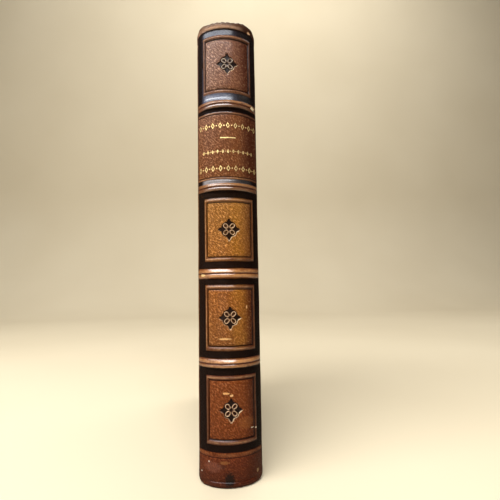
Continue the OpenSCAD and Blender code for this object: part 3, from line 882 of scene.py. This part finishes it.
def panel_relief(arc, height, panel, part, gap):
    """Relief of the panels: sunk borders, raised and sunk lines, cushioned fields and stamped flowers."""
    past_band = gap - BAND_HALF - np.where(part > 0.5, HEAD_BORDER, FOOT_BORDER)
    lean = (arc < 0) * (LEAN_AT_TAIL - height * LEAN_LOSS)
    framed = np.minimum(past_band, (RIDGE_ARC - lean - np.abs(arc)) * SIDE_STRETCH)
    gilt = (gap - BAND_HALF - GILT_BORDER) * GILT_STRETCH
    inward = np.where(panel == GILT_PANEL, gilt, framed)
    inward = np.where(panel < 0, UNFRAMED, inward)

    border = -0.14 * (1 - smooth(inward, -0.3, 0.1))
    ridge = 0.36 * hump(inward, 0.5 * RIDGE, 0.55)
    groove = -0.5 * hump(inward, RIDGE + GROOVE / 2, 0.3)
    cushion = 0.16 * (1 - np.exp(-np.maximum(inward - FRAME_W, 0) / 0.8))
    face = border + ridge + groove + cushion
    flat = border + 0.25 * ridge + 0.6 * groove - 0.03 * smooth(inward, FRAME_W, FRAME_W + 0.4)
    face = np.where(panel == GILT_PANEL, flat, face)
    face = np.where(panel < 0, 0, face)
    face = face - 0.35 * hump(height, TAIL_LINE, 0.22) + 0.12 * hump(height, TAIL_LINE + 1.1, 0.6)

    depth, rim = flower_depth(arc, (part - FLOWER_PART) * PITCH)
    return face + np.isin(panel, FRAMED_PANELS) * (0.1 * rim - 0.5 * depth)


def band_relief(arc, part, gap):
    """Relief of a band, two beads with a line between, and of the leather drawn up at its foot."""
    angle = np.abs(arc) / SPINE_R
    lift = BAND_SHIFT * np.cos(angle) + np.sqrt(BAND_R**2 - (BAND_SHIFT * np.sin(angle)) ** 2) - SPINE_R
    lift = np.where(angle < ROUND, np.maximum(lift, 0), 0)
    across = gap / BAND_HALF
    bead = np.sqrt(np.clip(1 - (np.clip(across - 0.5, 0, None) / 0.54) ** 2, 0, 1))
    bead = bead * (1 - 0.07 * (1 + np.cos(math.pi * np.clip(across / 0.5, 0, 1))))
    slant = 1 - 0.37 * np.clip((across - 0.25) / 0.45, 0, None)
    bead = np.where(part < 0.5, np.minimum(bead, slant), bead)
    line = 0.2 * hump(gap, 0, 0.22)
    band = lift * bead - line * np.clip(lift / 0.6, 0, 1)
    foot = lift * 0.16 * np.exp(-np.maximum(gap - BAND_HALF, 0) / 0.55)
    return band, foot


def relief(arc, height):
    """How far the leather stands out from the plain round, in millimetres."""
    along = (height - TAIL_PANEL + BAND_DROP) / PITCH
    panel = np.where(height < TAIL_PANEL, -1, np.clip(np.floor(along), 0, 4))
    part = along - np.floor(along)
    gap = np.minimum(part, 1 - part) * PITCH
    banded = (np.round(along) >= 1) & (np.round(along) <= 4)
    band, foot = (banded * rise for rise in band_relief(arc, part, gap))
    face = panel_relief(arc, height, panel, part, gap) + foot

    soft = 0.12
    both = 0.5 * (band + face + np.sqrt((band - face) ** 2 + soft**2)) - 0.5 * soft * np.exp(-gap)
    face = np.where(banded & (gap < BAND_HALF + 2.4), both, face)

    far = np.abs(arc)
    on_round = 1 - smooth(far, JOINT_ARC - 1.2, JOINT_ARC - 0.1)
    joint = -0.3 * hump(far, JOINT_ARC + 1.3, 1.0)
    handled = 0.05 * np.sin(arc * 0.31 + height * 0.11) * np.sin(height * 0.23 + 1.3)
    return np.minimum(face, BAND_RISE) * on_round + joint + handled * (panel != GILT_PANEL)


def fade(arc, start, end, at_start, at_end):
    return at_start + (at_end - at_start) * smooth(np.abs(arc), start, end)


def fray(arc):
    """How far the worn edge of the head cap is lifted, more on its shoulders than in its middle."""
    ragged = 0.16 * math.sin(arc * 2.3) + 0.1 * math.sin(arc * 5.1 + 1)
    right = smooth(arc, 2.5, 9) * (1 - smooth(arc, 15, SEAM_ARC))
    left = 0.8 * smooth(-arc, 9.5, 13) * (1 - smooth(-arc, 15.5, SEAM_ARC))
    return fade(arc, 9, SEAM_ARC - 1, 0.75, 0.25) + right + left + fade(arc, 7, 12, 1, 0.2) * ragged


def drawn_in(height, inset):
    """Height of a point of the face where the leather's ends are drawn in by inset."""
    near_tail = max(DRAWN - height, 0) / (DRAWN - CAP_H)
    near_head = max(DRAWN - BOOK_H + height, 0) / (DRAWN - CAP_H)
    return height + (near_tail - near_head) * inset


def cap_path(arc, top, on_cover):
    """The leather's way over the head: round the cap, in along the top, and down and back inside."""
    proud = fade(arc, 9, SEAM_ARC - 0.6, CAP_PROUD, 0.0) * (1 - on_cover)
    roll = fade(arc, 11, SEAM_ARC - 0.2, CAP_ROLL, 0.4) + 0.2 * on_cover
    reach = fade(arc, 12, SEAM_ARC - 0.2, CAP_REACH, LEATHER) + on_cover * (HALF_T - PASTEDOWN_X - LEATHER)
    turn = LEATHER + on_cover * (TURN_IN - LEATHER)
    inner = on_cover * PASTEDOWN - reach

    start = math.acos(np.clip((roll - proud) / roll, -1, 1))
    start_z = top - roll - roll * math.sin(start)
    path = []
    for share in (0.4, 0.75):
        dent = -0.2 * math.sin(math.pi * share) * (proud / CAP_PROUD)
        path.append((dent, top - CAP_H + share * (start_z - top + CAP_H)))
    for angle in np.linspace(-start, math.pi / 2, 11):
        path.append((proud - roll + roll * math.cos(angle), top - roll + roll * math.sin(angle)))
    for share in (0.35, 0.7, 1.0):
        path.append((proud - roll + share * (roll - proud - reach), top))
    for share in (0.3, 0.65, 1.0):
        path.append((-reach, top - share * turn))
    path.append((inner, top - turn))
    path.append((inner, top - LEATHER))
    path.append((0.5 * (inner - LEATHER), top - LEATHER))
    path.append((-LEATHER, top - LEATHER))
    return path


def section(arc, walls):
    """Closed section of the leather at an arc: up the face, over the head, down inside, round the tail.

    Each point has its offset out, its height, its place in the map and 1 where the face is tooled.
    """
    on_cover = smooth(np.abs(arc), JOINT_ARC + 1.6, JOINT_ARC + BOARD_Y - JOINT_Y + 0.1)
    inset = end_inset(np.array([arc]))[0]
    top = BOOK_H - inset
    path = cap_path(arc, top, on_cover)
    steps = [math.dist(a, b) for a, b in zip([(0.0, top - CAP_H), *path], path)]
    walked = CAP_FOOT + np.cumsum(steps)

    ring = [(0.0, drawn_in(height, inset), height, 1.0) for height in walls]
    lifted = fray(arc) * (1 - on_cover)
    for (out, z), way in zip(path, walked):
        ring.append((out, z + lifted * smooth(z, top - CAP_H + 0.4, top - 0.6), way, 0.0))
    low, high = LEATHER + inset, top - LEATHER
    for share in np.linspace(1, 0, 12)[1:-1]:
        ring.append((-LEATHER, low + share * (high - low), BOOK_H * share, 0.0))
    for (out, z), way in zip(path[::-1], walked[::-1]):
        ring.append((out, BOOK_H - z, BOOK_H - way, 0.0))
    return ring


def grid_faces(columns, rows):
    """Four-sided faces of a grid that is closed along its columns."""
    index = np.arange(columns * rows).reshape(columns, rows)
    ahead = np.roll(index, -1, axis=1)
    return np.stack([index[:-1], index[1:], ahead[1:], ahead[:-1]], axis=-1).reshape(-1, 4)


def leather_piece(name, arcs, walls, material):
    """Closed skin of leather over the stretch of arcs, with a map of arc and height."""
    columns = []
    for arc in arcs:
        ring = np.array(section(arc, walls))
        columns.append(np.column_stack([np.full(len(ring), arc), ring]))
    first, last = columns[0].copy(), columns[-1].copy()
    for closing in (first, last):
        closing[:, 1] = np.minimum(closing[:, 1], -LEATHER)
        closing[:, 4] = 0
    grid = np.array([first, *columns, last])
    arc, offset, z, walked, tooled = (grid[:, :, k] for k in range(5))
    x, y, nx, ny = outline(arc)
    thin = tooled * np.clip(BOOK_H / 2 - np.abs(walked - BOOK_H / 2), 0, 1)
    out = offset + relief(arc, walked) * thin
    points = np.stack([x + nx * out, y + ny * out, z], axis=-1) * MM

    mesh = bpy.data.meshes.new(name)
    mesh.from_pydata(points.reshape(-1, 3).tolist(), [], grid_faces(*arc.shape).tolist())
    layer = mesh.uv_layers.new(name="leather")
    corners = np.empty(len(mesh.loops), dtype=np.int32)
    mesh.loops.foreach_get("vertex_index", corners)
    places = np.stack([arc, walked], axis=-1).reshape(-1, 2) * MM
    layer.data.foreach_set("uv", places[corners].astype(np.float32).ravel())
    mesh.materials.append(material)
    mesh.shade_smooth()
    mesh.set_sharp_from_angle(angle=math.radians(48))
    return add_object(name, mesh)


def make_leather():
    """Spine leather, and one piece over each joint."""
    material = leather_finish()
    first_band = TAIL_PANEL - BAND_DROP
    bands = [first_band + i * PITCH for i in range(1, 5)]
    flowers = [first_band + (i + FLOWER_PART) * PITCH for i in FRAMED_PANELS]
    zones = [FINE_TAIL, FINE_HEAD]
    zones += [(band - FINE_BY_BAND, band + FINE_BY_BAND) for band in bands]
    zones += [(flower - FINE_BY_FLOWER, flower + FINE_BY_FLOWER) for flower in flowers]
    walls = spaced(CAP_H, CAP_FOOT, zones, FINE_UP, COARSE_UP)
    arc_zones = [
        (-RIDGE_ARC - 0.2, LEAN_AT_TAIL - PANEL_ARC),
        (-FINE_BY_FLOWER, FINE_BY_FLOWER),
        (PANEL_ARC - 0.2, RIDGE_ARC + 0.2),
    ]
    arcs = spaced(-SEAM_ARC, SEAM_ARC, arc_zones, FINE_ROUND, COARSE_ROUND)
    spine = leather_piece("spine_leather_skin", arcs, walls, material)
    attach(spine, "book_block")
    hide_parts("spine_leather")

    joint = spaced(SEAM_ARC, STRIP_ARC, [(SEAM_ARC, JOINT_ARC + 4)], FINE_OUT, COARSE_OUT)
    for side, cover in ((1, "front"), (-1, "back")):
        arcs = joint if side > 0 else [-arc for arc in reversed(joint)]
        piece = leather_piece(cover + "_joint_leather", arcs, walls, material)
        (HINGE_Y - 0.7) * MM
        (HINGE_Y + 0.7) * MM
        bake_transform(piece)
        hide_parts(cover + "_leather")


def thread_wound(material):
    """Geometry nodes that wind thread round a core bent to an arc."""
    tree = bpy.data.node_groups.new("thread_wound", "GeometryNodeTree")
    for name in ("Arc radius", "Start", "Sweep", "Core radius", "Thread radius", "Lean"):
        tree.interface.new_socket(name, in_out="INPUT", socket_type="NodeSocketFloat")
    tree.interface.new_socket("Turns", in_out="INPUT", socket_type="NodeSocketInt")
    tree.interface.new_socket("Geometry", in_out="OUTPUT", socket_type="NodeSocketGeometry")
    given = tree.nodes.new("NodeGroupInput").outputs

    def step(kind, sockets, mode=None):
        """Adds a node and gives its outputs."""
        made = tree.nodes.new(kind)
        if mode:
            made.mode = mode
        for key, value in sockets.items():
            for one in value if isinstance(value, list) else [value]:
                if isinstance(one, bpy.types.NodeSocket):
                    tree.links.new(one, named(made.inputs, key))
                else:
                    named(made.inputs, key).default_value = one
        return made.outputs

    def circle(radius, points):
        return step("GeometryNodeCurvePrimitiveCircle", {"Resolution": points, "Radius": radius})[0]

    bend = {
        "Resolution": 48,
        "Radius": given["Arc radius"],
        "Start Angle": given["Start"],
        "Sweep Angle": given["Sweep"],
    }
    bow = step("GeometryNodeCurveArc", bend, "RADIUS")[0]
    core_round = circle(given["Core radius"], 20)
    core = step("GeometryNodeCurveToMesh", {"Curve": bow, "Profile Curve": core_round, "Fill Caps": True})[0]
    places = step("GeometryNodeCurveToPoints", {"Curve": bow, "Count": given["Turns"]})
    hoop = {"Curve": circle(given["Core radius"], 20), "Profile Curve": circle(given["Thread radius"], 8)}
    turn = step("GeometryNodeCurveToMesh", hoop)[0]
    laid = step(
        "GeometryNodeInstanceOnPoints",
        {"Points": places["Points"], "Instance": turn, "Rotation": places["Rotation"]},
    )[0]
    lean = step("ShaderNodeCombineXYZ", {"X": given["Lean"]})[0]
    tilt = {"Instances": laid, "Rotation": lean, "Local Space": True}
    leaned = step("GeometryNodeRotateInstances", tilt)[0]
    wound = step("GeometryNodeRealizeInstances", {"Geometry": leaned})[0]
    joined = step("GeometryNodeJoinGeometry", {"Geometry": [core, wound]})[0]
    thread = step("GeometryNodeSetMaterial", {"Geometry": joined, "Material": material})[0]
    rounded = step("GeometryNodeSetShadeSmooth", {"Geometry": thread})[0]
    step("NodeGroupOutput", {"Geometry": rounded})
    return tree


def grown(name, tree, values):
    """Mesh object that a geometry tree gives with these named inputs."""
    seed = add_object(name + "_seed", bpy.data.meshes.new(name + "_seed"))
    modifier = seed.modifiers.new("grow", "NODES")
    modifier.node_group = tree
    for item in tree.interface.items_tree:
        if item.in_out == "INPUT":
            modifier[item.identifier] = values[item.name]
    bpy.context.view_layer.update()
    evaluated = seed.evaluated_get(bpy.context.evaluated_depsgraph_get())
    mesh = bpy.data.meshes.new_from_object(evaluated)
    seed.modifiers.remove(modifier)
    bpy.data.objects.remove(seed)
    mesh.name = name
    return add_object(name, mesh)


def make_headbands(material):
    """Silk thread wound round a core at the head and the tail of the pages."""
    low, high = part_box("headband")
    core_r = (high.z - low.z) / 2 / MM
    middle_z = (high.z + low.z) / 2 / MM
    arc_r = AXIS_Y - low.y / MM - core_r
    reach = math.asin(PAGE_HALF_T / arc_r)
    thread_r = 0.17
    sizes = {
        "Arc radius": arc_r * MM,
        "Start": -math.pi / 2 - reach,
        "Sweep": 2 * reach,
        "Core radius": (core_r - thread_r) * MM,
        "Thread radius": thread_r * MM,
        "Turns": int(2 * reach * arc_r / (2.1 * thread_r)),
        "Lean": math.radians(7),
    }
    tree = thread_wound(material)
    for name, z in (("headband", middle_z), ("tailband", BOOK_H - middle_z)):
        piece = grown(name + "_thread", tree, sizes)
        piece.data.transform(Matrix.Translation((0, AXIS_Y * MM, z * MM)))
        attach(piece, "book_block")
        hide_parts(name)


def paper_strip(name, path, material):
    """Closed strip of paper along a path seen from the head, as tall as the pages."""
    half_paper = 0.06
    points = []
    for i, (x, y) in enumerate(path):
        ahead, behind = path[min(i + 1, len(path) - 1)], path[max(i - 1, 0)]
        dx, dy = ahead[0] - behind[0], ahead[1] - behind[1]
        length = math.hypot(dx, dy)
        nx, ny = dy / length * half_paper, -dx / length * half_paper
        points.append(((x + nx, y + ny), (x - nx, y - ny)))
    ring = [a for a, _ in points] + [b for _, b in reversed(points)]
    low, high = PAGE_LO + 0.2, PAGE_HI - 0.2
    verts = [(x * MM, y * MM, z * MM) for z in (low, high) for x, y in ring]
    count = len(ring)
    faces = [(i, (i + 1) % count, (i + 1) % count + count, i + count) for i in range(count)]
    for i in range(len(path) - 1):
        j = count - 1 - i
        faces.append((i, j, j - 1, i + 1))
        faces.append((i + count, i + 1 + count, j - 1 + count, j + count))
    mesh = bpy.data.meshes.new(name)
    mesh.from_pydata(verts, [], faces)
    mesh.materials.append(material)
    mesh.shade_smooth()
    mesh.set_sharp_from_angle(angle=math.radians(40))
    piece = add_object(name, mesh)
    return piece


def straight(start, end, count):
    """Points on the straight line from start to end."""
    return [tuple(a + t * (b - a) for a, b in zip(start, end)) for t in np.linspace(0, 1, count)]


def make_inner_joints(material):
    """Endpaper that lines each joint: it runs down the shoulder and back to the pasted half."""
    for side, cover in ((1, "front"), (-1, "back")):
        outer = (side * (PASTEDOWN_X - 0.19), BOARD_Y - 0.23)
        deep = (side * (PASTEDOWN_X + 2.05), BOARD_Y - 0.66)
        pasted = (side * (PASTEDOWN_X + 0.2), BOARD_Y - 0.07)
        lining = straight(outer, deep, 5)
        fold = straight(deep, pasted, 15)
        if side < 0:
            lining.reverse()
            fold.reverse()
        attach(paper_strip(cover + "_shoulder_paper", lining, material), "book_block")
        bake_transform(paper_strip(cover + "_joint_paper", fold, material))


def dress(node, material):
    """Gives a CAD node its material."""
    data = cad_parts[node].data
    data.materials.clear()
    data.materials.append(material)


def dress_nodes():
    endpaper = paper_finish("endpaper", "#d6c498", "#c4aa7a", 0.45)
    card = board_finish("spine_card", "#a08a64", "#7c6748")
    millboard = board_finish("millboard", "#7d6c52", "#554733")
    cord = thread_finish("hemp_cord", "#cdb88c", "#8f7a52")
    silk = thread_finish("headband_silk", "#8f3a2c", "#5c1f18")
    siding = siding_finish()
    for cover in ("front", "back"):
        dress(cover + "_flyleaf", endpaper)
        dress(cover + "_pastedown", endpaper)
        dress(cover + "_board", millboard)
        dress(cover + "_siding", siding)
    for i in range(1, 6):
        dress(f"sewing_cord_{i}", cord)
    for i in range(1, 5):
        dress(f"false_band_{i}", card)
    dress("spine_lining", card)
    dress("spine_stiffener", card)
    make_headbands(silk)
    make_inner_joints(endpaper)
    dress("text_block", page_finish())
    dress("gold_ornament", gold_finish())


make_camera()
make_studio()
make_leather()
dress_nodes()
